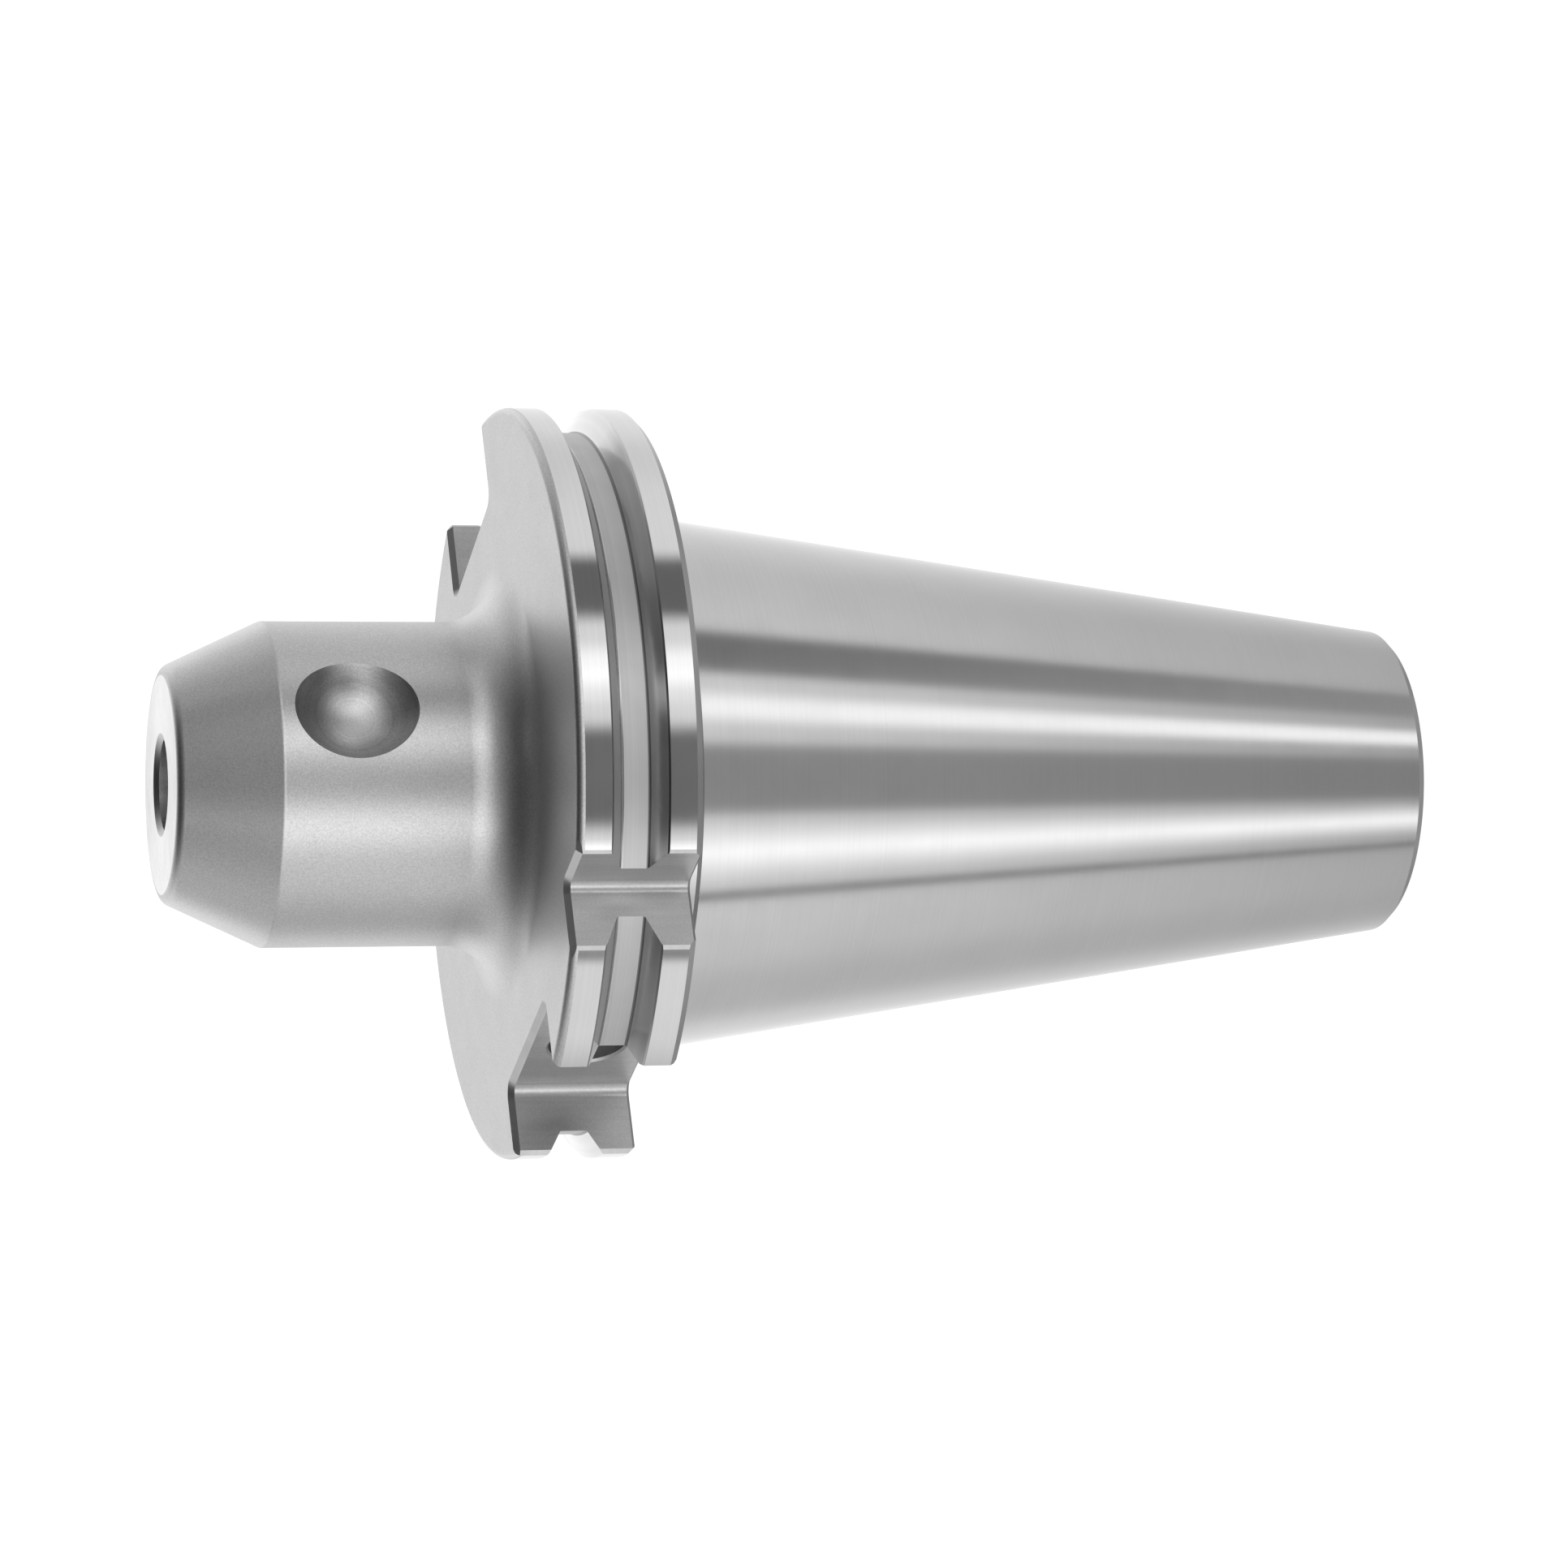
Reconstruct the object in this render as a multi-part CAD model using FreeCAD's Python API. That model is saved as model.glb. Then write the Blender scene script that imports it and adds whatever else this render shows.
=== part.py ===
import FreeCAD, Part
import math
import os
from FreeCAD import Vector as V

# Side lock end mill holder with a 7/24 steep taper, size 50.
# It stands upright on the small end of its taper, with the nose up.
# Origin: centre of the small end face. +Z runs along the axis towards the nose.
# The two drive slots lie at +X (deep one at -X), the clamp screw at -Y and the balancing dimple at +Y.
# Stations called s_... are measured from the gauge plane, positive towards the nose.

# ---------------------------------------------------------------- driving dimensions, mm
# taper shank
gauge_d = 69.85            # diameter at the gauge plane
taper_len = 101.75         # gauge plane to small end
taper_rate = 7.0 / 24.0    # on the diameter
small_end_chamfer = 0.75
taper_edge_break = 0.1     # at the large end, on the taper's side of the gauge plane
relief_d = 68.8            # neck between taper and flange
relief_fillet = 0.5

# flange
s_rear = 3.2               # rear face
s_groove = 11.1            # middle of the gripper groove
s_front = 19.1             # front face
flange_d = 97.5
rear_rim_chamfer = 0.9
front_rim_round = 1.0
groove_floor_d = 91.25
groove_mouth_w = 7.1
groove_angle = 60.0        # included
groove_fillet = 0.4

# drive slots and orientation notch
slot_w = 25.7
slot_floor_a = 37.7        # from the axis, at +X, with the data-carrier hole
slot_floor_b = 35.5        # from the axis, at -X
slot_fillet = 1.4
slot_rim_chamfer = 0.65    # where a slot wall meets the outer diameter
notch_corner = 30.0        # both walls of the right-angled notch, from the axis
notch_fillet = 1.2
notch_rim_chamfer_x = 1.1  # on the wall along X, where it meets the outer diameter
notch_rim_chamfer_y = 0.45 # on the wall along Y
front_edge_chamfer = 0.75  # slots and notch, at the front face
rear_edge_chamfer = 0.35   # slots and notch, at the rear face
chip_d = 10.0              # data-carrier hole in the floor of slot A
chip_depth = 4.6
chip_chamfer = 0.3

# nose
s_nose = 63.0              # nose face
nose_d = 42.0
nose_fillet = 7.5          # nose to flange
s_cone = 50.35             # where the front cone starts
cone_angle = 25.0          # between the cone and the axis
cone_edge_round = 1.1      # cone to cylinder
nose_edge_round = 1.6      # cone to nose face

# tool bore
bore_d = 12.0
bore_depth = 48.0
bore_chamfer = 0.55
coolant_d = 8.0
drill_half_angle = 59.0

# pull stud end
pilot_d = 25.0
pilot_depth = 11.5
pilot_chamfer = 0.5
thread_minor_d = 20.752    # M24 x 3
thread_csk_d = 24.2
thread_drill_depth = 64.0

# clamp screw and its hole, at -Y
s_screw = 40.5
screw_d = 11.9             # M12 with running clearance in its hole
screw_hole_d = 12.0
screw_hole_mouth_d = 13.6
screw_len = 16.0
screw_tip_y = -6.2         # rest position of the tip, just clear of the bore
screw_tip_chamfer = 1.5
screw_head_chamfer = 1.0
hex_af = 6.0
hex_depth = 7.0
hex_mouth_d = 7.3

# balancing dimple, at +Y
s_dimple = 40.6
dimple_r = 10.5
dimple_centre = 27.8       # from the axis

# ---------------------------------------------------------------- helpers
Z0 = taper_len             # height of the gauge plane


def rounded_wire(points, to3d):
    """Closed wire through (a, b, fillet) points; each fillet is a tangent arc."""
    n = len(points)
    pts = [(p[0], p[1]) for p in points]
    rad = [p[2] if len(p) > 2 else 0.0 for p in points]
    ends = []
    for i in range(n):
        a, p, b = pts[i - 1], pts[i], pts[(i + 1) % n]
        if rad[i] <= 0:
            ends.append((p, None, p))
            continue
        u = (a[0] - p[0], a[1] - p[1])
        w = (b[0] - p[0], b[1] - p[1])
        lu, lw = math.hypot(*u), math.hypot(*w)
        u = (u[0] / lu, u[1] / lu)
        w = (w[0] / lw, w[1] / lw)
        half = math.acos(max(-1.0, min(1.0, u[0] * w[0] + u[1] * w[1]))) / 2.0
        t = rad[i] / math.tan(half)
        bis = (u[0] + w[0], u[1] + w[1])
        lb = math.hypot(*bis)
        c = rad[i] / math.sin(half)
        cen = (p[0] + bis[0] / lb * c, p[1] + bis[1] / lb * c)
        mid = (cen[0] - bis[0] / lb * rad[i], cen[1] - bis[1] / lb * rad[i])
        ends.append(((p[0] + u[0] * t, p[1] + u[1] * t), mid, (p[0] + w[0] * t, p[1] + w[1] * t)))
    edges = []
    for i in range(n):
        first, mid, last = ends[i]
        if mid is not None:
            edges.append(Part.Arc(to3d(*first), to3d(*mid), to3d(*last)).toShape())
        nxt = ends[(i + 1) % n][0]
        if math.hypot(nxt[0] - last[0], nxt[1] - last[1]) > 1e-7:
            edges.append(Part.LineSegment(to3d(*last), to3d(*nxt)).toShape())
    return Part.Wire(edges)


def revolved(points):
    face = Part.Face(rounded_wire(points, lambda r, z: V(r, 0, z)))
    return face.revolve(V(0, 0, 0), V(0, 0, 1), 360)


def prism(points, z_low, z_high):
    face = Part.Face(rounded_wire(points, lambda x, y: V(x, y, z_low)))
    return face.extrude(V(0, 0, z_high - z_low))


# ---------------------------------------------------------------- turned body
def cone_dz(dr):
    return dr / math.tan(math.radians(drill_half_angle))


R = flange_d / 2
r_end = gauge_d / 2 - taper_len * taper_rate / 2
groove_run = (R - groove_floor_d / 2) * math.tan(math.radians(groove_angle / 2))
gh = groove_mouth_w / 2
z_rear, z_front, z_nose = Z0 + s_rear, Z0 + s_front, Z0 + s_nose
z_bore = z_nose - bore_depth
bore_r, cool_r, drill_r, pilot_r = bore_d / 2, coolant_d / 2, thread_minor_d / 2, pilot_d / 2

profile = [
    (pilot_r + pilot_chamfer, 0),
    (r_end - small_end_chamfer + small_end_chamfer * taper_rate / 2, 0),
    (r_end + small_end_chamfer * taper_rate / 2, small_end_chamfer),
    (gauge_d / 2 - taper_edge_break * taper_rate / 2, Z0 - taper_edge_break),
    (relief_d / 2, Z0 + 0.3),
    (relief_d / 2, z_rear, relief_fillet),
    (R - rear_rim_chamfer, z_rear),
    (R, z_rear + rear_rim_chamfer),
    (R, Z0 + s_groove - gh),
    (groove_floor_d / 2, Z0 + s_groove - gh + groove_run, groove_fillet),
    (groove_floor_d / 2, Z0 + s_groove + gh - groove_run, groove_fillet),
    (R, Z0 + s_groove + gh),
    (R, z_front, front_rim_round),
    (nose_d / 2, z_front, nose_fillet),
    (nose_d / 2, Z0 + s_cone, cone_edge_round),
    (nose_d / 2 - (s_nose - s_cone) * math.tan(math.radians(cone_angle)), z_nose, nose_edge_round),
    (bore_r + bore_chamfer, z_nose),
    (bore_r, z_nose - bore_chamfer),
    (bore_r, z_bore),
    (cool_r, z_bore - cone_dz(bore_r - cool_r)),
    (cool_r, thread_drill_depth + cone_dz(drill_r - cool_r)),
    (drill_r, thread_drill_depth),
    (drill_r, pilot_depth + (thread_csk_d / 2 - drill_r)),
    (thread_csk_d / 2, pilot_depth),
    (pilot_r, pilot_depth),
    (pilot_r, pilot_chamfer),
]
body = revolved(profile)


# ---------------------------------------------------------------- drive slots and notch
def slot_outline(floor, side, d=0.0):
    """Section of a drive slot, grown by d all round. The last step out is at 45 degrees, the chamfer at the rim."""
    w = slot_w / 2
    xe = math.sqrt(R * R - w * w) - slot_rim_chamfer - d * (math.sqrt(2) - 1)
    w, f = w + d, floor - d
    far, out = R + 4.0, R + 8.0
    flare = w + (far - xe)
    pts = [(out, -flare), (out, flare), (far, flare), (xe, w), (f, w, slot_fillet + d),
           (f, -w, slot_fillet + d), (xe, -w), (far, -flare)]
    return [(side * p[0],) + tuple(p[1:]) for p in pts]


def notch_outline(d=0.0):
    """Section of the right-angled orientation notch, grown by d all round."""
    k = notch_corner
    grow = d * (math.sqrt(2) - 1)
    xe = math.sqrt(R * R - k * k) - notch_rim_chamfer_x - grow
    ye = math.sqrt(R * R - k * k) - notch_rim_chamfer_y - grow
    k -= d
    run = 8.0
    far = R + 14.0
    return [(k, k, notch_fillet + d), (xe, k), (xe + run, k - run), (far, k - run), (far, far),
            (k - run, far), (k - run, ye + run), (k, ye)]


def flared(outline, z_edge, z_out):
    """Cutter whose section grows by 1 mm for each mm from z_edge to z_out: a 45 degree edge chamfer."""
    low = rounded_wire(outline(0.0), lambda x, y: V(x, y, z_edge))
    high = rounded_wire(outline(abs(z_out - z_edge)), lambda x, y: V(x, y, z_out))
    return Part.makeLoft([low, high], True, True)


below, above = z_rear - 0.6, z_front + 1.0
for outline in (lambda d: slot_outline(slot_floor_a, 1, d), lambda d: slot_outline(slot_floor_b, -1, d), notch_outline):
    body = body.cut(prism(outline(0.0), below, above))
    body = body.cut(flared(outline, z_front - front_edge_chamfer, z_front + 0.3))
    body = body.cut(flared(outline, z_rear + rear_edge_chamfer, z_rear))

# ---------------------------------------------------------------- data-carrier hole in slot A
zc = Z0 + s_groove
chip = Part.makeCylinder(chip_d / 2, chip_depth + 2, V(slot_floor_a - chip_depth, 0, zc), V(1, 0, 0))
chip_mouth = Part.makeCone(chip_d / 2, chip_d / 2 + chip_chamfer + 1.0, chip_chamfer + 1.0,
                           V(slot_floor_a - chip_chamfer, 0, zc), V(1, 0, 0))
body = body.cut(chip.fuse(chip_mouth))

# ---------------------------------------------------------------- balancing dimple
body = body.cut(Part.makeSphere(dimple_r, V(0, dimple_centre, Z0 + s_dimple)))

# ---------------------------------------------------------------- clamp-screw hole
zs = Z0 + s_screw
nose_r = nose_d / 2
hole = Part.makeCylinder(screw_hole_d / 2, nose_r + 5, V(0, -nose_r - 5, zs), V(0, 1, 0))
dm = (screw_hole_mouth_d - screw_hole_d) / 2
mouth = Part.makeCone(screw_hole_mouth_d / 2 + 3.0, screw_hole_d / 2, dm + 3.0, V(0, -nose_r - 3.0, zs), V(0, 1, 0))
body = body.cut(hole).cut(mouth)
body = body.removeSplitter()

# ---------------------------------------------------------------- clamp screw
tip = screw_tip_y
head = tip - screw_len
sr = screw_d / 2
flat_r = hex_af / 2
tip_cone = flat_r / math.tan(math.radians(60.0))
sp = [
    (0, head, 0), (sr - screw_head_chamfer, head, 0), (sr, head + screw_head_chamfer, 0),
    (sr, tip - screw_tip_chamfer, 0), (sr - screw_tip_chamfer, tip, 0), (0, tip, 0),
]
face = Part.Face(rounded_wire(sp, lambda r, y: V(r, y, zs)))
screw = face.revolve(V(0, 0, zs), V(0, 1, 0), 360)
corner = hex_af / math.sqrt(3)
hexagon = Part.makePolygon([V(corner * math.cos(math.radians(60 * i)), head - 1, zs + corner * math.sin(math.radians(60 * i)))
                            for i in range(7)])
socket = Part.Face(hexagon).extrude(V(0, hex_depth + 1, 0))
socket = socket.fuse(Part.makeCone(flat_r, 0, tip_cone, V(0, head + hex_depth, zs), V(0, 1, 0)))
mouth_d = hex_mouth_d / 2
socket_mouth = Part.makeCone(mouth_d + 1.0, mouth_d - 0.6, 1.6 * 0.7, V(0, head - 0.7, zs), V(0, 1, 0))
screw = screw.cut(socket.fuse(socket_mouth)).removeSplitter()

# ---------------------------------------------------------------- output
os.makedirs("parts", exist_ok=True)
for name, shape in (("holder_body", body), ("clamp_screw", screw)):
    solids = shape.Solids
    assert len(solids) == 1 and solids[0].isValid(), name
    solids[0].exportStep("parts/%s.step" % name)
    bb = solids[0].BoundBox
    print("%s volume %.1f mm3  X %.3f..%.3f  Y %.3f..%.3f  Z %.3f..%.3f  faces %d" % (
        name, solids[0].Volume, bb.XMin, bb.XMax, bb.YMin, bb.YMax, bb.ZMin, bb.ZMax, len(solids[0].Faces)))
common = body.common(screw)
print("overlap body/screw %.4f mm3, clearance %.4f mm" % (common.Volume, body.distToShape(screw)[0]))
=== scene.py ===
import math

import bmesh
import bpy
import numpy as np
from mathutils import Matrix, Vector


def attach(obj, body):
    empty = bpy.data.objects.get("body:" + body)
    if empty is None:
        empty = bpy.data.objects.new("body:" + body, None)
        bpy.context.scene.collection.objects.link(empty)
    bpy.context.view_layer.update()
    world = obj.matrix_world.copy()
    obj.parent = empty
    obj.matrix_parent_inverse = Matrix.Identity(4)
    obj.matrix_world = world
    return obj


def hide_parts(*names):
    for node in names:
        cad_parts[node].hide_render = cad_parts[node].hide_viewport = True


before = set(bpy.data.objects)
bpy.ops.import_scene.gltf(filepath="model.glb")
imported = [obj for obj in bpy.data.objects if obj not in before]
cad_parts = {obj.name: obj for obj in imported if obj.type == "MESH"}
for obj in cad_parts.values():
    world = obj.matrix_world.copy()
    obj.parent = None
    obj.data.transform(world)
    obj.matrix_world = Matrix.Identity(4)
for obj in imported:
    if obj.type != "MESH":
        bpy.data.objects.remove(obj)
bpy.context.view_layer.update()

MM = 0.001

# ------------------------------------------------------------------ dimensions, mm
GAUGE_D, TAPER_LEN, TAPER_RATE = 69.85, 101.75, 7.0 / 24.0
SMALL_CH, EDGE_BREAK = 1.0, 0.1
RELIEF_D, RELIEF_R = 68.8, 0.5
S_REAR, S_GROOVE, S_FRONT = 3.2, 11.1, 19.1
FLANGE_D, REAR_CH, FRONT_R = 97.5, 0.9, 1.0
GROOVE_D, GROOVE_W, GROOVE_ANG, GROOVE_R = 91.25, 7.1, 60.0, 0.4
SLOT_W, SLOT_A, SLOT_B, SLOT_R, SLOT_RIM = 25.7, 37.7, 35.5, 1.4, 0.65
NOTCH, NOTCH_R, NOTCH_RIM_X, NOTCH_RIM_Y = 30.0, 1.2, 0.1, 0.08
FRONT_EDGE, REAR_EDGE = 0.75, 0.35
CHIP_D, CHIP_DEPTH, CHIP_CH = 10.0, 4.6, 0.3
S_NOSE, NOSE_D, NOSE_R = 63.0, 42.0, 7.5
S_CONE, CONE_ANG, CONE_R, TIP_R = 50.35, 25.0, 1.1, 1.6
BORE_D, BORE_DEPTH, BORE_CH, COOLANT_D = 12.0, 48.0, 0.65, 8.0
PILOT_D, PILOT_DEPTH, PILOT_CH = 25.0, 11.5, 0.5
M24_MINOR, M24_MAJOR, M24_P, CSK_D, DRILL_DEPTH = 20.752, 24.0, 3.0, 24.2, 64.0
S_SCREW, HOLE_D, HOLE_MOUTH = 40.5, 12.0, 13.6
SCREW_D, SCREW_P, SCREW_LEN, SCREW_TIP = 11.9, 1.75, 16.0, -6.2
HEX_AF, HEX_DEPTH, HEX_MOUTH = 6.0, 7.0, 7.3
S_DIMPLE, DIMPLE_R, DIMPLE_C = 40.75, 10.45, 27.8
LIP = 0.2   # edge break between a land and the groove's flank

Z0 = TAPER_LEN
Z_REAR, Z_FRONT, Z_NOSE = Z0 + S_REAR, Z0 + S_FRONT, Z0 + S_NOSE
R = FLANGE_D / 2
R_END = GAUGE_D / 2 - TAPER_LEN * TAPER_RATE / 2
COT59 = 1.0 / math.tan(math.radians(59.0))

# ------------------------------------------------------------------ surface register
# Every face carries the number of the surface it belongs to, through the boolean cuts.
# From that number come its exact normals and its material.
SURF = []


def surf(kind, data, mat):
    SURF.append((kind, data, mat))
    return len(SURF) - 1


class Mesh:
    def __init__(self):
        self.v, self.f, self.i = [], [], []

    def add(self, p):
        self.v.append(p)
        return len(self.v) - 1

    def face(self, idx, sid, flip=False):
        self.f.append(tuple(reversed(idx)) if flip else tuple(idx))
        self.i.append(sid)

    def obj(self, name):
        me = bpy.data.meshes.new(name)
        me.from_pydata([(x * MM, y * MM, z * MM) for x, y, z in self.v], [], self.f)
        me.polygons.foreach_set("material_index", np.array(self.i, np.int32))
        ob = bpy.data.objects.new(name, me)
        bpy.context.scene.collection.objects.link(ob)
        return ob


def ring(m, r, z, n, to3d=None):
    out = []
    for j in range(n):
        a = 2 * math.pi * j / n
        p = (r * math.cos(a), r * math.sin(a), z)
        out.append(m.add(to3d(p) if to3d else p))
    return out


def strip(m, a, b, sid):
    na, nb = len(a), len(b)
    if na == nb:
        for j in range(na):
            k = (j + 1) % na
            m.face((a[j], a[k], b[k], b[j]), sid)
    elif nb == 2 * na:
        for j in range(na):
            k, b0, b1, b2 = (j + 1) % na, b[2 * j], b[2 * j + 1], b[(2 * j + 2) % nb]
            m.face((a[j], a[k], b1), sid)
            m.face((a[j], b1, b0), sid)
            m.face((a[k], b2, b1), sid)
    else:
        for j in range(nb):
            k, a0, a1, a2 = (j + 1) % nb, a[2 * j], a[2 * j + 1], a[(2 * j + 2) % na]
            m.face((a0, a1, b[j]), sid)
            m.face((a1, b[k], b[j]), sid)
            m.face((a1, a2, b[k]), sid)


def helix(m, low, high, z_start, turns, pitch, steps, radius, sids, flip, to3d=None):
    """A thread between two rings. steps are (share of the pitch, kind); radius(kind, z) gives its radius."""
    n, M = len(low), len(steps)
    K = turns * M
    V = {}

    def at(k, j):
        if (k, j) not in V:
            z = z_start + pitch * (k // M + steps[k % M][0] + j / n)
            r = radius(steps[k % M][1], z)
            a = 2 * math.pi * j / n
            p = (r * math.cos(a), r * math.sin(a), z)
            V[k, j] = m.add(to3d(p) if to3d else p)
        return V[k, j]

    e0, e1 = sids[-1], sids[-1]
    for j in range(n - 1):
        m.face((low[j], low[j + 1], at(0, j + 1), at(0, j)), e0, flip)
    m.face((low[n - 1], low[0], at(0, n - 1)), e0, flip)
    m.face((low[0], at(0, 0), at(0, n - 1)), e0, flip)
    for i in range(M):
        m.face((at(i, 0), at(i + 1, 0), at(0, n - 1)), e0, flip)
    for k in range(K):
        s = sids[k % M]
        for j in range(n - 1):
            m.face((at(k, j), at(k, j + 1), at(k + 1, j + 1), at(k + 1, j)), s, flip)
        m.face((at(k, n - 1), at(k + M, 0), at(k + 1 + M, 0), at(k + 1, n - 1)), s, flip)
    for i in range(K, K + M):
        m.face((at(i, 0), at(K, 1), at(i + 1, 0)), e1, flip)
    m.face((at(K + M, 0), at(K, 1), high[0]), e1, flip)
    m.face((at(K, 1), high[1], high[0]), e1, flip)
    for j in range(1, n - 1):
        m.face((at(K, j), at(K, j + 1), high[j + 1], high[j]), e1, flip)
    m.face((at(K, n - 1), at(K + M, 0), high[0], high[n - 1]), e1, flip)


def corner(a, p, b, rad):
    """Tangent arc at p between a-p and p-b: (start, centre, end)."""
    u = np.array([a[0] - p[0], a[1] - p[1]], float)
    w = np.array([b[0] - p[0], b[1] - p[1]], float)
    u /= np.linalg.norm(u)
    w /= np.linalg.norm(w)
    half = math.acos(max(-1.0, min(1.0, float(u @ w)))) / 2
    t = rad / math.tan(half)
    bis = (u + w) / np.linalg.norm(u + w)
    P = np.array(p[:2], float)
    return P + u * t, P + bis * rad / math.sin(half), P + w * t


def arc_points(s, c, e, n):
    a0 = math.atan2(s[1] - c[1], s[0] - c[0])
    a1 = math.atan2(e[1] - c[1], e[0] - c[0])
    d = (a1 - a0 + math.pi) % (2 * math.pi) - math.pi
    rad = math.hypot(s[0] - c[0], s[1] - c[1])
    return [(c[0] + rad * math.cos(a0 + d * i / n), c[1] + rad * math.sin(a0 + d * i / n)) for i in range(n + 1)]


# ------------------------------------------------------------------ turned body
groove_run = (R - GROOVE_D / 2) * math.tan(math.radians(GROOVE_ANG / 2))
gh = GROOVE_W / 2
lip_run = LIP * math.tan(math.radians(GROOVE_ANG / 2))
z_bore = Z_NOSE - BORE_DEPTH
bore_r, cool_r, drill_r, pilot_r = BORE_D / 2, COOLANT_D / 2, M24_MINOR / 2, PILOT_D / 2
csk_r = CSK_D / 2
# (r, z, fillet radius, fillet steps, material of the stretch that starts here, rows in it, material of the fillet)
OUTER = [
    (pilot_r + PILOT_CH, 0, 0, 0, "end_face", 1, None),
    (R_END - SMALL_CH + SMALL_CH * TAPER_RATE / 2, 0, 0, 0, "turned", 1, None),
    (R_END + SMALL_CH * TAPER_RATE / 2, SMALL_CH, 0, 0, "ground", 14, None),
    (GAUGE_D / 2 - EDGE_BREAK * TAPER_RATE / 2, Z0 - EDGE_BREAK, 0, 0, "turned", 1, None),
    (RELIEF_D / 2, Z0 + 0.3, 0, 0, "turned", 1, None),
    (RELIEF_D / 2, Z_REAR, RELIEF_R, 6, "turned_face", 1, "turned"),
    (R - REAR_CH, Z_REAR, 0, 0, "turned", 1, None),
    (R, Z_REAR + REAR_CH, 0, 0, "land", 1, None),
    (R, Z0 + S_GROOVE - gh - lip_run, 0, 0, "lip", 1, None),
    (R - LIP, Z0 + S_GROOVE - gh + lip_run, 0, 0, "groove_flank", 1, None),
    # the groove's rear root radius takes the dark root steel: painted shade in the crease
    (GROOVE_D / 2, Z0 + S_GROOVE - gh + groove_run, GROOVE_R, 5, "groove", 1, "root"),
    (GROOVE_D / 2, Z0 + S_GROOVE + gh - groove_run, GROOVE_R, 5, "groove_flank", 1, "groove_flank"),
    (R - LIP, Z0 + S_GROOVE + gh - lip_run, 0, 0, "lip", 1, None),
    (R, Z0 + S_GROOVE + gh + lip_run, 0, 0, "land", 1, None),
    (R, Z_FRONT, FRONT_R, 8, "blasted", 2, "blasted"),
    (NOSE_D / 2, Z_FRONT, NOSE_R, 24, "blasted", 6, "blasted"),
    (NOSE_D / 2, Z0 + S_CONE, CONE_R, 6, "blasted", 3, "blasted"),
    (NOSE_D / 2 - (S_NOSE - S_CONE) * math.tan(math.radians(CONE_ANG)), Z_NOSE, TIP_R, 9, "nose_face", 1, "blasted"),
    (bore_r + BORE_CH, Z_NOSE, 0, 0, None, 1, None),
]
NO, NI = 384, 192
body = Mesh()


def line_normal(p, q):
    t = np.array([q[0] - p[0], q[1] - p[1]], float)
    t /= np.linalg.norm(t)
    return float(t[1]), float(-t[0])


path = []  # (point, surface from here on)
for k, (r, z, rad, steps, mat, rows, fmat) in enumerate(OUTER):
    nxt = OUTER[k + 1] if k + 1 < len(OUTER) else None
    if rad:
        s, c, e = corner(OUTER[k - 1], (r, z), nxt, rad)
        t = np.array([r, z], float) - np.array(OUTER[k - 1][:2], float)
        n = np.array([t[1], -t[0]])
        sign = 1.0 if float((s - c) @ n) > 0 else -1.0
        sid = surf("rev_arc", (float(c[0]), float(c[1]), sign), fmat)
        pts = arc_points(s, c, e, steps)
        path += [(p, sid) for p in pts[:-1]]
        start = pts[-1]
    else:
        start = (r, z)
    if nxt is None:
        path.append((start, None))
        break
    end = nxt[:2]
    if nxt[2]:
        far = OUTER[k + 2]
        end = corner((r, z), nxt[:2], far, nxt[2])[0]
    sid = surf("rev_line", line_normal(start, end), mat)
    for i in range(rows):
        path.append(((start[0] + (end[0] - start[0]) * i / rows, start[1] + (end[1] - start[1]) * i / rows), sid))

first = ring(body, *path[0][0], NI)
prev, prev_sid = first, path[0][1]
for k, (p, sid) in enumerate(path[1:]):
    last = k == len(path) - 2
    cur = ring(body, p[0], p[1], NI if last else NO)
    strip(body, prev, cur, prev_sid)
    prev, prev_sid = cur, sid

# inside, from the nose down
INNER = [
    (bore_r, Z_NOSE - BORE_CH, "bore", 1),
    (bore_r, z_bore, "drilled", 8),
    (cool_r, z_bore - (bore_r - cool_r) * COT59, "drilled", 1),
    (cool_r, DRILL_DEPTH + (drill_r - cool_r) * COT59, "drilled", 1),
    (drill_r, DRILL_DEPTH, "drilled", 1),
    (drill_r, 60.0, "thread", 1),
]
here = (bore_r + BORE_CH, Z_NOSE)
mat = "mouth"
for r, z, nmat, _ in INNER:  # the chamfer at the bore's mouth comes first
    sid = surf("rev_line", line_normal(here, (r, z)), mat)
    cur = ring(body, r, z, NI)
    strip(body, prev, cur, sid)
    prev, here, mat = cur, (r, z), nmat
high = prev
z_low = PILOT_DEPTH + 0.02
csk_low = ring(body, csk_r - 0.02, z_low, NI)


def thread_radius(kind, z):
    cone = csk_r - (z - PILOT_DEPTH)
    fade = max(0.0, min(1.0, (57.0 - z) / 4.0))
    deep = drill_r + (M24_MAJOR / 2 - drill_r) * fade
    return max(cone, drill_r if kind == 0 else deep)


sids = [surf("auto", None, "thread") for _ in range(5)]
helix(body, csk_low, high, PILOT_DEPTH + 0.06, 14, M24_P, [(0.0, 0), (0.25, 0), (0.5625, 1), (0.6875, 1)],
      thread_radius, sids, True)
edge = ring(body, csk_r, PILOT_DEPTH, NI)
strip(body, csk_low, edge, surf("rev_line", line_normal((csk_r - 0.02, z_low), (csk_r, PILOT_DEPTH)), "thread"))
out = ring(body, pilot_r, PILOT_DEPTH, NI)
strip(body, edge, out, surf("rev_line", (0.0, -1.0), "turned_face"))
down = ring(body, pilot_r, PILOT_CH, NI)
strip(body, out, down, surf("rev_line", (-1.0, 0.0), "pilot"))
strip(body, down, first, surf("rev_line", line_normal((pilot_r, PILOT_CH), (pilot_r + PILOT_CH, 0)), "turned"))

# ------------------------------------------------------------------ cutters


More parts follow.
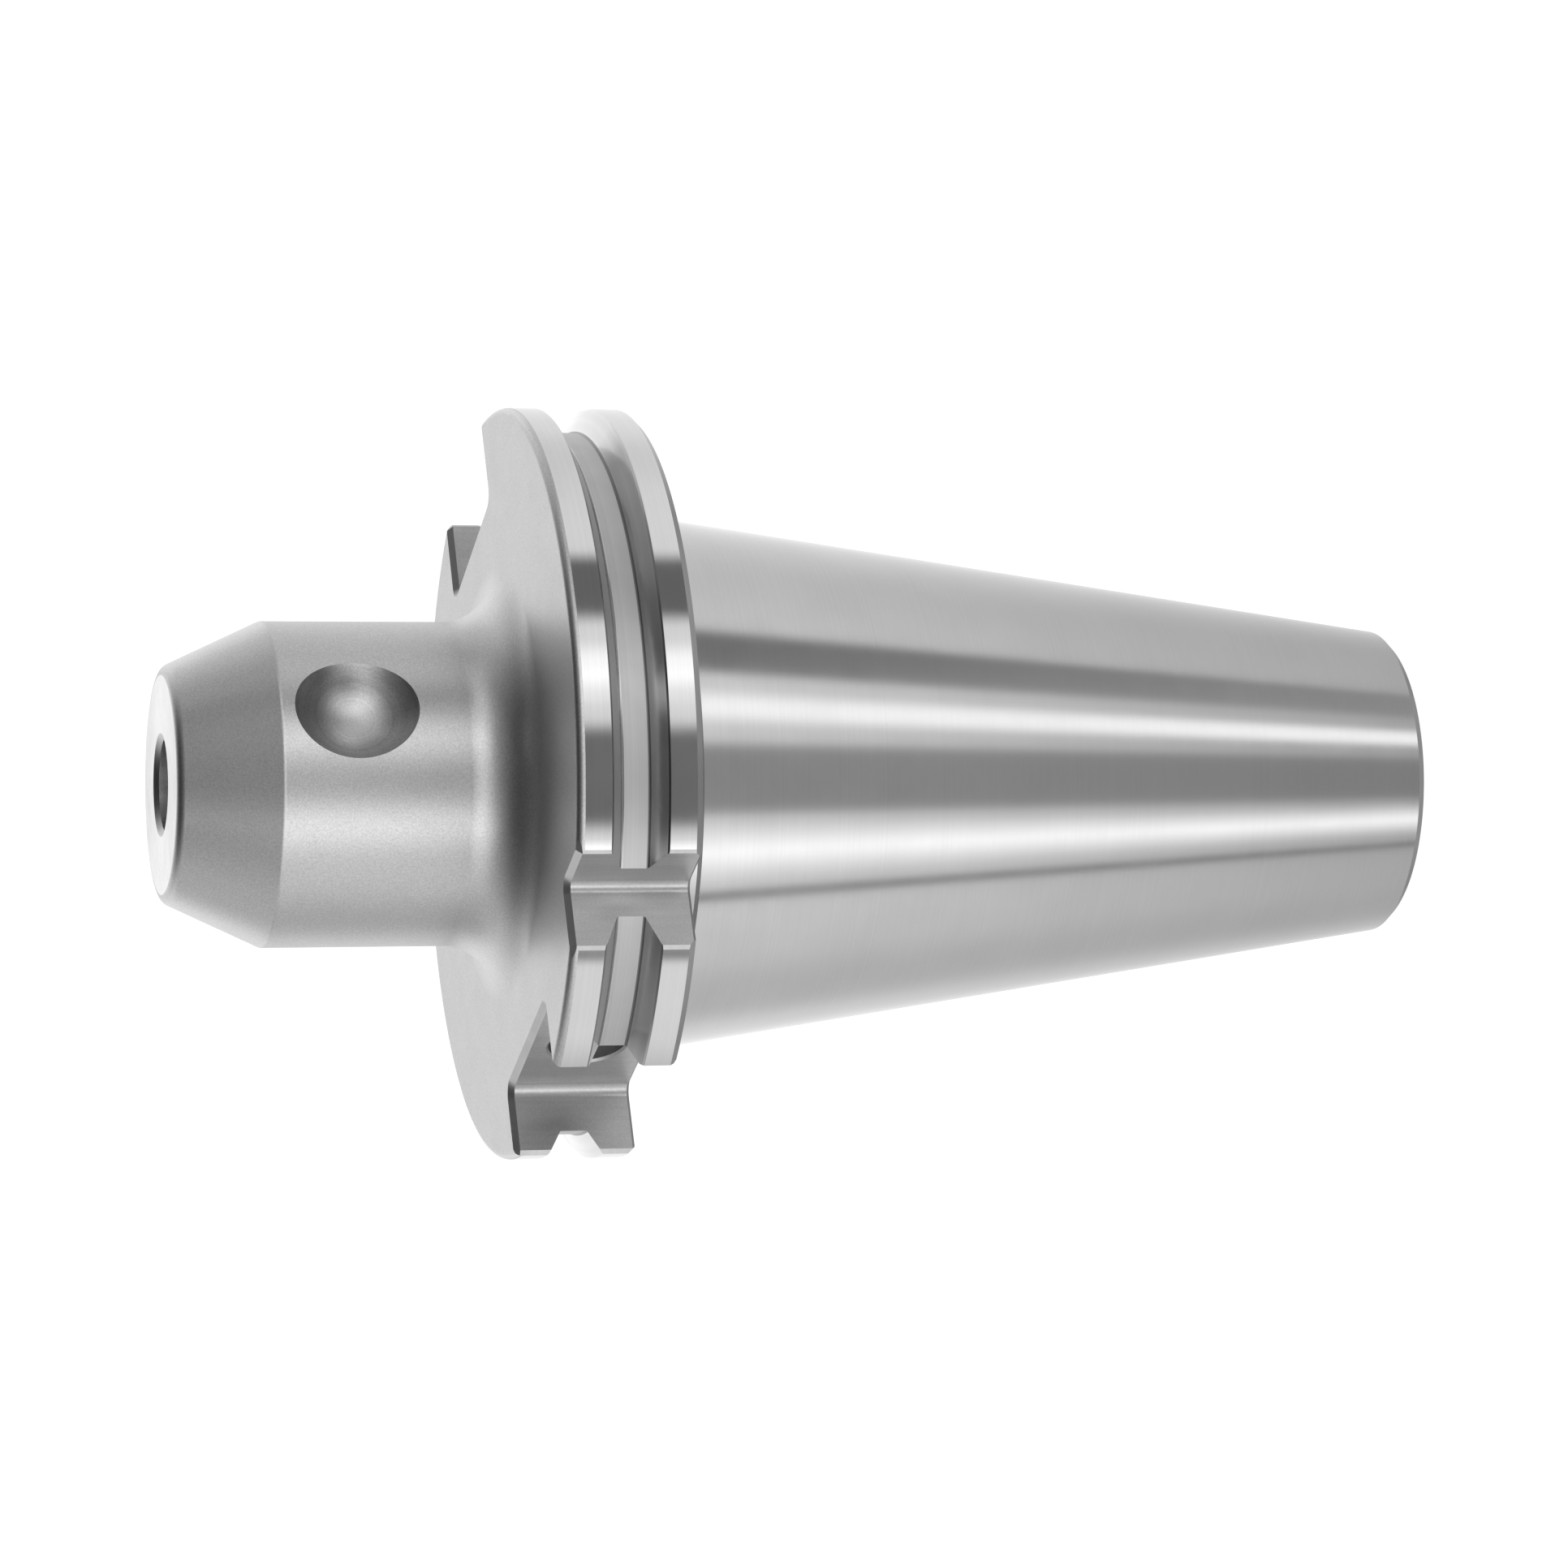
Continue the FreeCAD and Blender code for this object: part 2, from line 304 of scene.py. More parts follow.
def rounded_outline(points, tags, steps):
    """[(x, y)], [tag of each edge], {tag: fillet centre} for (x, y, fillet) points; tags name the edge that starts at each point."""
    pts, et, centres = [], [], {}
    n = len(points)
    for k, p in enumerate(points):
        rad = p[2] if len(p) > 2 else 0
        if rad:
            s, c, e = corner(points[k - 1], p, points[(k + 1) % n], rad)
            tag = "round%d" % k
            centres[tag] = (float(c[0]), float(c[1]))
            arc = arc_points(s, c, e, steps)
            pts += arc[:-1]
            et += [tag] * (len(arc) - 1)
            pts.append(arc[-1])
            et.append(tags[k])
        else:
            pts.append((p[0], p[1]))
            et.append(tags[k])
    return pts, et, centres


def stacked(name, outline, tags, levels, steps, mat, edge_mat):
    """A closed cutter whose section at height z is outline(d), for (z, d) levels."""
    m = Mesh()
    rows = []
    for z, d in levels:
        pts, et, centres = rounded_outline(outline(d), tags, steps)
        rows.append([m.add((x, y, z)) for x, y in pts])
    n = len(pts)
    known = {}
    for b in range(len(levels) - 1):
        tilt = {0: -1.0, len(levels) - 2: 1.0}.get(b, 0.0)
        for i in range(n):
            j = (i + 1) % n
            key = (et[i], b)
            if key not in known:
                which = edge_mat if tilt or et[i].startswith("rim") else mat
                if et[i] in centres:
                    known[key] = surf("z_fillet", (centres[et[i]], tilt), which)
                else:
                    known[key] = surf("plane", None, which)
            m.face((rows[b][i], rows[b][j], rows[b + 1][j], rows[b + 1][i]), known[key])
    cap = surf("flat", None, mat)
    m.face(tuple(reversed(rows[0])), cap)
    m.face(tuple(rows[-1]), cap)
    return m.obj(name)


def slot_outline(floor, side):
    def at(d):
        w = SLOT_W / 2
        xe = math.sqrt(R * R - w * w) - SLOT_RIM - d * (math.sqrt(2) - 1)
        w, f = w + d, floor - d
        far, outx = R + 4.0, R + 8.0
        flare = w + (far - xe)
        pts = [(outx, -flare), (outx, flare), (far, flare), (xe, w), (f, w, SLOT_R + d),
               (f, -w, SLOT_R + d), (xe, -w), (far, -flare)]
        return [(side * p[0],) + tuple(p[1:]) for p in pts]
    return at


def notch_outline(d):
    k = NOTCH
    grow = d * (math.sqrt(2) - 1)
    xe = math.sqrt(R * R - k * k) - NOTCH_RIM_X - grow
    ye = math.sqrt(R * R - k * k) - NOTCH_RIM_Y - grow
    k -= d
    run, far = 8.0, R + 14.0
    return [(k, k, NOTCH_R + d), (xe, k), (xe + run, k - run), (far, k - run), (far, far),
            (k - run, far), (k - run, ye + run), (k, ye)]


LEVELS = [(Z_REAR - 0.6, REAR_EDGE + 0.6), (Z_REAR + REAR_EDGE, 0.0), (Z_FRONT - FRONT_EDGE, 0.0), (Z_FRONT + 1.0, FRONT_EDGE + 1.0)]
SLOT_TAGS = ["out", "out_a", "rim_a", "wall_a", "floor", "wall_b", "rim_b", "out_b"]
NOTCH_TAGS = ["wall_x", "rim_x", "out_x", "out_a", "out_b", "out_y", "rim_y", "wall_y"]
cutters = [
    stacked("cut_slot_a", slot_outline(SLOT_A, 1), SLOT_TAGS, LEVELS, 10, "milled", "milled_edge"),
    stacked("cut_slot_b", slot_outline(SLOT_B, -1), SLOT_TAGS, LEVELS, 10, "milled", "milled_edge"),
    stacked("cut_notch", notch_outline, NOTCH_TAGS, LEVELS, 8, "milled", "milled_edge"),
]


def lathed(name, rows, n, to3d, axis, origin):
    """A closed cutter turned about an axis. rows are (r, t, surface of the stretch after it)."""
    m = Mesh()
    rings = [ring(m, r, t, n, to3d) for r, t, _ in rows]
    for k in range(len(rows) - 1):
        strip(m, rings[k], rings[k + 1], rows[k][2])
    m.face(tuple(reversed(rings[0])), rows[-1][2][0])
    m.face(tuple(rings[-1]), rows[-1][2][1])
    return m.obj(name)


# data-carrier hole, along +X
zc = Z0 + S_GROOVE
x_axis = lambda p: (p[2], p[0], zc + p[1])
sid_wall = surf("cyl", ((0, 0, zc), (1, 0, 0), 0.0), "milled_hole")
sid_cone = surf("cyl", ((0, 0, zc), (1, 0, 0), 1.0), "milled_edge")
sid_floor = surf("fixed", (1, 0, 0), "milled_hole")
x0 = SLOT_A - CHIP_DEPTH
cutters.append(lathed("cut_chip", [(CHIP_D / 2, x0, sid_wall), (CHIP_D / 2, SLOT_A - CHIP_CH, sid_cone),
                                   (CHIP_D / 2 + CHIP_CH + 1.0, SLOT_A + 1.0, (sid_floor, sid_floor))], 96, x_axis, None, None))
# clamp-screw hole, towards -Y
zs = Z0 + S_SCREW
nose_r = NOSE_D / 2
y_axis = lambda p: (p[1], p[2], zs + p[0])
dm = (HOLE_MOUTH - HOLE_D) / 2
sid_wall = surf("cyl", ((0, 0, zs), (0, 1, 0), 0.0), "drilled")
sid_cone = surf("cyl", ((0, 0, zs), (0, 1, 0), -1.0), "milled_edge")
sid_none = surf("flat", None, "drilled")
cutters.append(lathed("cut_screw", [(HOLE_MOUTH / 2 + 3.0, -nose_r - 3.0, sid_cone), (HOLE_D / 2, -nose_r + dm, sid_wall),
                                    (HOLE_D / 2, -0.5, (sid_none, sid_none))], 128, y_axis, None, None))
# balancing dimple, a ball-nose cut from +Y
m = Mesh()
zd = Z0 + S_DIMPLE
sid = surf("ball", (0, DIMPLE_C, zd), "dimple")
ball = lambda p: (p[1], DIMPLE_C + p[2], zd + p[0])
rows = []
for k in range(1, 64):
    a = math.pi * k / 64
    rows.append(ring(m, DIMPLE_R * math.sin(a), -DIMPLE_R * math.cos(a), 128, ball))
for a, b in zip(rows, rows[1:]):
    strip(m, a, b, sid)
p0, p1 = m.add(ball((0, 0, -DIMPLE_R))), m.add(ball((0, 0, DIMPLE_R)))
for j in range(128):
    k = (j + 1) % 128
    m.face((rows[0][k], rows[0][j], p0), sid)
    m.face((rows[-1][j], rows[-1][k], p1), sid)
cutters.append(m.obj("cut_dimple"))

# ------------------------------------------------------------------ clamp screw
screw = Mesh()
head, tip = SCREW_TIP - SCREW_LEN, SCREW_TIP
sr = SCREW_D / 2
s_minor = sr - 0.6134 * SCREW_P
NS = 144
on_y = lambda p: (p[1], p[2], zs + p[0])  # turned about an axis along +Y through the screw
s_face = surf("fixed", (0, -1, 0), "oxide_face")
s_tip = surf("fixed", (0, 1, 0), "oxide_face")
s_ch = surf("auto", None, "oxide")
s_th = [surf("auto", None, "oxide") for _ in range(5)]


def screw_radius(kind, y):
    r = sr if kind == 1 else s_minor
    return min(r, sr - 1.0 + (y - head), sr - 1.5 + (tip - y))


r_head, r_tip = sr - 1.12, sr - 1.5
head_ring = ring(screw, r_head, head, NS, on_y)
tip_ring = ring(screw, r_tip, tip, NS, on_y)
turns = int((SCREW_LEN - 0.14) / SCREW_P) - 1
y_first = head + (SCREW_LEN - (turns + 1) * SCREW_P) / 2
helix(screw, head_ring, tip_ring, y_first, turns, SCREW_P,
      [(0.0, 1), (0.125, 1), (0.4375, 0), (0.6875, 0)], lambda k, y: max(screw_radius(k, y), 4.2), s_th, False, on_y)
c0 = screw.add(on_y((0, 0, head)))
c1 = screw.add(on_y((0, 0, tip)))
for j in range(NS):
    k = (j + 1) % NS
    screw.face((head_ring[k], head_ring[j], c0), s_face)
    screw.face((tip_ring[j], tip_ring[k], c1), s_tip)
# hexagon socket
hexm = Mesh()
cr = HEX_AF / math.sqrt(3)
corners = [(cr * math.cos(math.radians(60 * i)), cr * math.sin(math.radians(60 * i))) for i in range(6)]
lo = [hexm.add((x, head - 1.0, zs + z)) for x, z in corners]
hi = [hexm.add((x, head + HEX_DEPTH, zs + z)) for x, z in corners]
for i in range(6):
    j = (i + 1) % 6
    hexm.face((lo[i], lo[j], hi[j], hi[i]), surf("plane", None, "oxide_socket"))
flat = surf("flat", None, "oxide_socket")
apex = hexm.add((0, head + HEX_DEPTH + HEX_AF / 2 * COT59, zs))
hexm.face(tuple(reversed(lo)), flat)
for i in range(6):
    hexm.face((hi[i], hi[(i + 1) % 6], apex), flat)
hex_cut = hexm.obj("cut_hex")
s_mouth = surf("cyl", ((0, 0, zs), (0, 1, 0), -1.0), "oxide_face")
mouth_r = HEX_MOUTH / 2
mouth_cut = lathed("cut_mouth", [(mouth_r + 1.0, head - 1.0, s_mouth), (mouth_r - 1.2, head + 1.2, (flat, flat))], 96, on_y, None, None)

# ------------------------------------------------------------------ boolean cuts
dummy = bpy.data.materials.new("surface_number")


def number_slots(ob):
    for _ in range(len(SURF)):
        ob.data.materials.append(dummy)


def outward(ob):
    """Cutters are made closed with their faces turned outwards; plane surfaces take their normal from them."""
    bm = bmesh.new()
    bm.from_mesh(ob.data)
    bmesh.ops.recalc_face_normals(bm, faces=bm.faces)
    bm.to_mesh(ob.data)
    bm.free()
    for f in ob.data.polygons:
        kind, data, mat = SURF[f.material_index]
        if kind == "plane" and data is None:
            SURF[f.material_index] = (kind, tuple(-x for x in f.normal), mat)


def cut(ob, tools):
    for t in tools:
        mod = ob.modifiers.new(t.name, "BOOLEAN")
        mod.operation, mod.solver, mod.object = "DIFFERENCE", "EXACT", t
        mod.material_mode = "INDEX"
    dg = bpy.context.evaluated_depsgraph_get()
    me = bpy.data.meshes.new_from_object(ob.evaluated_get(dg), preserve_all_data_layers=True, depsgraph=dg)
    ob.modifiers.clear()
    old = ob.data
    ob.data = me
    bpy.data.meshes.remove(old)
    for t in tools:
        data = t.data
        bpy.data.objects.remove(t)
        bpy.data.meshes.remove(data)
    bm = bmesh.new()
    bm.from_mesh(me)
    bmesh.ops.remove_doubles(bm, verts=bm.verts, dist=2e-7)
    bmesh.ops.dissolve_degenerate(bm, edges=bm.edges, dist=1e-6)
    bm.to_mesh(me)
    bm.free()


holder = body.obj("steel_holder")
clamp = screw.obj("steel_clamp_screw")
for ob in [holder, clamp, hex_cut, mouth_cut] + cutters:
    number_slots(ob)
for ob in cutters + [hex_cut, mouth_cut, clamp, holder]:
    if ob not in (holder, clamp):
        outward(ob)
bpy.context.view_layer.update()
cut(holder, cutters)
cut(clamp, [hex_cut, mouth_cut])


def exact_normals(ob):
    me = ob.data
    nf, nl = len(me.polygons), len(me.loops)
    co = np.empty(len(me.vertices) * 3)
    me.vertices.foreach_get("co", co)
    co = co.reshape(-1, 3) / MM
    sid = np.empty(nf, np.int32)
    me.polygons.foreach_get("material_index", sid)
    tot = np.empty(nf, np.int32)
    me.polygons.foreach_get("loop_total", tot)
    fn = np.empty(nf * 3)
    me.polygons.foreach_get("normal", fn)
    fn = fn.reshape(-1, 3)
    area = np.empty(nf)
    me.polygons.foreach_get("area", area)
    lv = np.empty(nl, np.int32)
    me.loops.foreach_get("vertex_index", lv)
    lf = np.repeat(np.arange(nf), tot)  # faces keep their loops in order
    P, ls = co[lv], sid[lf]
    N = fn[lf].copy()
    r = np.hypot(P[:, 0], P[:, 1])
    rr = np.maximum(r, 1e-9)
    for s in np.unique(sid):
        kind, data, _ = SURF[s]
        k = ls == s
        p = P[k]
        if kind == "rev_line":
            N[k] = np.stack([data[0] * p[:, 0] / rr[k], data[0] * p[:, 1] / rr[k], np.full(len(p), data[1])], 1)
        elif kind == "rev_arc":
            a, b = (r[k] - data[0]) * data[2], (p[:, 2] - data[1]) * data[2]
            h = np.maximum(np.hypot(a, b), 1e-9)
            a, b = a / h, b / h
            N[k] = np.stack([a * p[:, 0] / rr[k], a * p[:, 1] / rr[k], b], 1)
        elif kind in ("plane", "fixed"):
            if data is not None:
                N[k] = np.array(data)
        elif kind == "z_fillet":
            (cx, cy), tilt = data
            d = np.stack([cx - p[:, 0], cy - p[:, 1], np.zeros(len(p))], 1)
            d /= np.maximum(np.linalg.norm(d, axis=1), 1e-9)[:, None]
            d[:, 2] = tilt
            N[k] = d / np.linalg.norm(d, axis=1)[:, None]
        elif kind == "cyl":
            o, ax, tilt = np.array(data[0], float), np.array(data[1], float), data[2]
            q = p - o
            q = q - (q @ ax)[:, None] * ax
            q /= np.maximum(np.linalg.norm(q, axis=1), 1e-9)[:, None]
            q = -q + tilt * ax
            N[k] = q / np.linalg.norm(q, axis=1)[:, None]
        elif kind == "ball":
            q = np.array(data, float) - p
            N[k] = q / np.maximum(np.linalg.norm(q, axis=1), 1e-9)[:, None]
        elif kind == "auto":
            acc = np.zeros((len(co), 3))
            np.add.at(acc, lv[k], fn[lf[k]] * area[lf[k]][:, None])
            got = acc[lv[k]]
            N[k] = got / np.maximum(np.linalg.norm(got, axis=1), 1e-12)[:, None]
    # a surface the cut left facing the other way keeps the side its face is on
    back = (N * fn[lf]).sum(1) < -0.2
    N[back] = fn[lf][back]
    me.polygons.foreach_set("use_smooth", np.ones(nf, bool))
    me.normals_split_custom_set(N.tolist())
    return int(back.sum()), sid


# ------------------------------------------------------------------ materials
def nodes_of(mat):
    mat.use_nodes = True
    nt = mat.node_tree
    nt.nodes.clear()
    out = nt.nodes.new("ShaderNodeOutputMaterial")
    bsdf = nt.nodes.new("ShaderNodeBsdfPrincipled")
    nt.links.new(bsdf.outputs[0], out.inputs["Surface"])
    return nt, bsdf


class Tree:
    """Short hand for building a node tree."""

    def __init__(self, nt):
        self.nt = nt

    def new(self, kind, **props):
        n = self.nt.nodes.new(kind)
        for k, v in props.items():
            setattr(n, k, v)
        return n

    def put(self, socket, value):
        if isinstance(value, bpy.types.NodeSocket):
            self.nt.links.new(value, socket)
        else:
            socket.default_value = value

    def math(self, op, a, b=None, c=None, clamp=False):
        n = self.new("ShaderNodeMath", operation=op, use_clamp=clamp)
        for s, v in zip(n.inputs, (a, b, c)):
            if v is not None:
                self.put(s, v)
        return n.outputs[0]

    def vec(self, op, a, b=None):
        n = self.new("ShaderNodeVectorMath", operation=op)
        self.put(n.inputs[0], a)
        if b is not None:
            self.put(n.inputs[1], b)
        return n.outputs["Value"] if op == "LENGTH" else n.outputs["Vector"]

    def noise(self, vector, scale, detail=2.0, rough=0.5, dims="3D"):
        n = self.new("ShaderNodeTexNoise", noise_dimensions=dims)
        self.put(n.inputs["Vector"], vector)
        n.inputs["Scale"].default_value = scale
        n.inputs["Detail"].default_value = detail
        n.inputs["Roughness"].default_value = rough
        return n.outputs["Fac"]

    def remap(self, v, a, b, c, d):
        n = self.new("ShaderNodeMapRange", clamp=True)
        self.put(n.inputs["Value"], v)
        for name, x in (("From Min", a), ("From Max", b), ("To Min", c), ("To Max", d)):
            n.inputs[name].default_value = x
        return n.outputs["Result"]

    def grey(self, v):
        n = self.new("ShaderNodeCombineColor")
        for i in range(3):
            self.put(n.inputs[i], v)
        return n.outputs[0]

    def bump(self, height, distance, normal=None, strength=1.0):
        n = self.new("ShaderNodeBump")
        n.inputs["Distance"].default_value = distance
        n.inputs["Strength"].default_value = strength
        self.put(n.inputs["Height"], height)
        if normal is not None:
            self.put(n.inputs["Normal"], normal)
        return n.outputs["Normal"]


def place(t):
    """Object coordinates, split, and the distance from the holder's axis."""
    tc = t.new("ShaderNodeTexCoord")
    sep = t.new("ShaderNodeSeparateXYZ")
    t.put(sep.inputs[0], tc.outputs["Object"])
    x, y, z = sep.outputs
    r = t.math("SQRT", t.math("ADD", t.math("MULTIPLY", x, x), t.math("MULTIPLY", y, y)))
    return tc.outputs["Object"], x, y, z, r


def lines_vector(t, x, y, along, fine, coarse):
    """Coordinates that change fast along one quantity and slowly around the part: tool or grinding lines."""
    c = t.new("ShaderNodeCombineXYZ")
    t.put(c.inputs[0], t.math("MULTIPLY", x, coarse))
    t.put(c.inputs[1], t.math("MULTIPLY", y, coarse))
    t.put(c.inputs[2], t.math("MULTIPLY", along, fine))
    return c.outputs[0]


def steel(name, kind, base, rough, aniso=0.0, line_um=0.0, line_pitch=0.0, line_var=0.0, grain=0.0, grain_um=0.0,
          grain_scale=5200.0, rough_var=0.06, along="z", tangent="Z", cloud=0.04, wide=0.6):
    mat = bpy.data.materials.new(name)
    nt, bsdf = nodes_of(mat)
    t = Tree(nt)
    obj, x, y, z, r = place(t)
    q = {"z": z, "r": r, "x": x, "y": y}.get(along)
    if along == "feed":  # cutter marks that run along the axis, on floors and walls of any direction
        q = t.math("ADD", x, t.math("MULTIPLY", y, 2.2))
        x, y = t.math("MULTIPLY", z, 12.0), t.math("MULTIPLY", y, 0.0)
    if along == "dimple":  # rings about the dimple's own axis
        zd_m = t.math("SUBTRACT", z, (Z0 + S_DIMPLE) * MM)
        q = t.math("SQRT", t.math("ADD", t.math("MULTIPLY", x, x), t.math("MULTIPLY", zd_m, zd_m)))
    bsdf.inputs["Metallic"].default_value = 1.0
    bsdf.inputs["Anisotropic"].default_value = aniso
    bsdf.inputs["Anisotropic Rotation"].default_value = 0.25
    shade = t.remap(t.noise(obj, 95.0, 3.0, 0.55), 0.3, 0.7, -cloud, cloud)
    normal = None
    if along == "dimple":  # painted highlight: the base colour is made lighter towards the dimple's middle
        shade = t.math("ADD", shade, t.remap(q, 0.0006, 0.0050, 0.30, -0.27))
    if line_pitch:
        fine = 0.5 / (line_pitch * MM)
        lv = lines_vector(t, x, y, q, fine, 4.0)
        n1 = t.noise(lv, 1.0, 2.0, 0.6)
        n2 = t.noise(lines_vector(t, x, y, q, fine * 0.21, 2.5), 1.0, 2.0, 0.5)
        shade = t.math("ADD", shade, t.remap(n1, 0.25, 0.75, -line_var, line_var))
        shade = t.math("ADD", shade, t.remap(n2, 0.25, 0.75, -line_var * wide, line_var * wide))
        normal = t.bump(t.math("ADD", n1, t.math("MULTIPLY", n2, 0.2 + wide)), line_um * 1e-6)
    if grain:
        g = t.noise(obj, grain_scale, 1.5, 0.6)
        g2 = t.noise(obj, grain_scale * 0.32, 2.0, 0.6)
        shade = t.math("ADD", shade, t.remap(g, 0.25, 0.75, -grain, grain))
        normal = t.bump(t.math("ADD", g, t.math("MULTIPLY", g2, 0.7)), grain_um * 1e-6, normal)
    t.put(bsdf.inputs["Base Color"], t.grey(t.math("MULTIPLY", t.math("ADD", shade, 1.0), base)))
    rn = t.noise(obj, 210.0, 3.0, 0.6)
    t.put(bsdf.inputs["Roughness"], t.remap(rn, 0.3, 0.7, rough - rough_var / 2, rough + rough_var / 2))
    if normal is not None:
        t.put(bsdf.inputs["Normal"], normal)
    if aniso:
        if tangent == "dimple":
            c = t.new("ShaderNodeCombineXYZ")
            t.put(c.inputs[0], zd_m)
            t.put(c.inputs[2], t.math("MULTIPLY", x, -1.0))
            t.put(bsdf.inputs["Tangent"], t.vec("NORMALIZE", c.outputs[0]))
        else:
            tg = t.new("ShaderNodeTangent", direction_type="RADIAL", axis=tangent)
            t.put(bsdf.inputs["Tangent"], tg.outputs[0])
    return mat


MATS = {
    "ground": steel("ground_taper", "turned", 0.62, 0.175, 0.74, 0.18, 0.14, 0.022, rough_var=0.03, cloud=0.02,
                    wide=0.2),
    "land": steel("turned_land", "turned", 0.64, 0.12, 0.66, 0.25, 0.20, 0.028, rough_var=0.03, cloud=0.02),
    "turned": steel("turned_edge", "turned", 0.60, 0.30, 0.60, 0.35, 0.20, 0.04),
    "turned_face": steel("turned_face", "turned", 0.58, 0.30, 0.55, 0.40, 0.25, 0.05, along="r"),
    "end_face": steel("ground_end_face", "turned", 0.60, 0.26, 0.55, 0.35, 0.25, 0.05, along="r"),
    "groove": steel("turned_groove", "turned", 0.55, 0.50, 0.20, 0.6, 0.20, 0.055, wide=0.3),
    "groove_flank": steel("turned_groove_flank", "turned", 0.49, 0.15, 0.40, 0.5, 0.20, 0.06),
    # painted shade: a much darker steel on the groove's rear root radius, where the crease falls into shade
    "root": steel("turned_root_painted_shade", "turned", 0.17, 0.34, 0.20, 0.4, 0.20, 0.05),
    "lip": steel("turned_lip", "turned", 0.50, 0.18, 0.30, 0.3, 0.16, 0.05),
    "blasted": steel("blasted_nose", "blasted", 0.56, 0.38, 0.0, grain=0.15, grain_um=5.0, grain_scale=4400.0,
                     rough_var=0.02, cloud=0.012),
    "nose_face": steel("fine_turned_nose_face", "turned", 0.605, 0.25, 0.4, 0.3, 0.18, 0.04, along="r"),
    "milled": steel("milled_slot", "milled", 0.53, 0.38, 0.0, 1.3, 0.45, 0.07, grain=0.08, grain_um=2.0, grain_scale=3600.0,
                    along="feed"),
    "milled_edge": steel("milled_edge", "milled", 0.52, 0.42, 0.0, 0.6, 0.30, 0.05),
    "milled_hole": steel("milled_hole", "milled", 0.48, 0.36, 0.0, 0.8, 0.35, 0.06, along="x"),
    # its base colour is lighter towards the dimple's middle: a painted highlight
    "dimple": steel("milled_dimple", "milled", 0.52, 0.385, 0.10, 1.5, 0.17, 0.09, grain=0.12, grain_um=2.4, grain_scale=4200.0, rough_var=0.02,
                    along="dimple", tangent="dimple"),
    "bore": steel("ground_bore", "turned", 0.68, 0.26, 0.3, 0.4, 0.30, 0.10),
    "mouth": steel("turned_mouth", "turned", 0.46, 0.34, 0.0, 0.8, 0.20, 0.08, grain=0.10, grain_um=1.5),
    "pilot": steel("turned_pilot", "turned", 0.55, 0.28, 0.4, 0.4, 0.22, 0.05),
    "drilled": steel("drilled_hole", "turned", 0.40, 0.42, 0.0, 1.2, 0.5, 0.10),
    "thread": steel("cut_thread", "turned", 0.42, 0.34, 0.0, grain=0.06, grain_um=1.5, grain_scale=2600.0),
}


def oxide(name, rough, base):
    """Black oxide on alloy steel: dark, faintly blue-grey metal with a thin oil film."""
    mat = bpy.data.materials.new(name)
    nt, bsdf = nodes_of(mat)
    t = Tree(nt)
    obj, x, y, z, r = place(t)
    bsdf.inputs["Metallic"].default_value = 0.85
    bsdf.inputs["Coat Weight"].default_value = 0.25
    bsdf.inputs["Coat Roughness"].default_value = 0.22
    n = t.noise(obj, 620.0, 4.0, 0.62)
    g = t.noise(obj, 4200.0, 2.0, 0.6)
    shade = t.math("ADD", t.remap(n, 0.3, 0.7, base * 0.8, base * 1.25), t.remap(g, 0.3, 0.7, -0.006, 0.006))
    mix = t.new("ShaderNodeCombineColor")
    t.put(mix.inputs[0], shade)
    t.put(mix.inputs[1], t.math("MULTIPLY", shade, 1.01))
    t.put(mix.inputs[2], t.math("MULTIPLY", shade, 1.04))
    t.put(bsdf.inputs["Base Color"], mix.outputs[0])
    t.put(bsdf.inputs["Roughness"], t.remap(n, 0.3, 0.7, rough - 0.05, rough + 0.07))
    t.put(bsdf.inputs["Normal"], t.bump(g, 2.0e-6))
    return mat


MATS["oxide"] = oxide("oxide_thread", 0.38, 0.055)
MATS["oxide_face"] = oxide("oxide_face", 0.34, 0.065)
MATS["oxide_socket"] = oxide("oxide_socket", 0.42, 0.045)


def dress(ob):
    wrong, sid = exact_normals(ob)
    me = ob.data
    names = sorted({SURF[s][2] for s in np.unique(sid)})
    me.materials.clear()
    for n in names:
        me.materials.append(MATS[n])
    at = {n: i for i, n in enumerate(names)}
    me.polygons.foreach_set("material_index", np.array([at[SURF[s][2]] for s in sid], np.int32))
    me.update()
    print("surfaces:", ob.name, len(me.polygons), "faces,", wrong, "corners kept flat")


dress(holder)
dress(clamp)
bpy.data.materials.remove(dummy)

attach(holder, "holder")
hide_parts("holder_body")
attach(clamp, "screw")
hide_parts("clamp_screw")

# ------------------------------------------------------------------ camera
PHI = math.radians(62.07)   # the photograph looks from this side, seen from above
SC, DIST, UC, YAW, PITCH, ROLL, FPX = 163.2615, 704.2191, 0.4331, 0.2538, -0.0008, 0.0032, 6806.0
c_dir = Vector((math.cos(PHI), math.sin(PHI), 0))
u_dir = Vector((-math.sin(PHI), math.cos(PHI), 0))
z_dir = Vector((0, 0, 1))
place_cam = (c_dir * DIST + u_dir * UC + z_dir * (SC + Z0)) * MM
right, up, fwd = -z_dir, u_dir, -c_dir
right, fwd = right * math.cos(YAW) - fwd * math.sin(YAW), right * math.sin(YAW) + fwd * math.cos(YAW)
up, fwd = up * math.cos(PITCH) - fwd * math.sin(PITCH), up * math.sin(PITCH) + fwd * math.cos(PITCH)
right, up = right * math.cos(ROLL) - up * math.sin(ROLL), right * math.sin(ROLL) + up * math.cos(ROLL)
cam_data = bpy.data.cameras.new("camera")
cam_data.sensor_fit = "HORIZONTAL"
cam_data.sensor_width = 36.0
cam_data.lens = FPX / 1932.0 * 36.0
cam_data.clip_start, cam_data.clip_end = 0.01, 50.0
cam = bpy.data.objects.new("camera", cam_data)
back = -fwd
cam.matrix_world = Matrix(((right.x, up.x, back.x, place_cam.x), (right.y, up.y, back.y, place_cam.y),
                           (right.z, up.z, back.z, place_cam.z), (0, 0, 0, 1)))
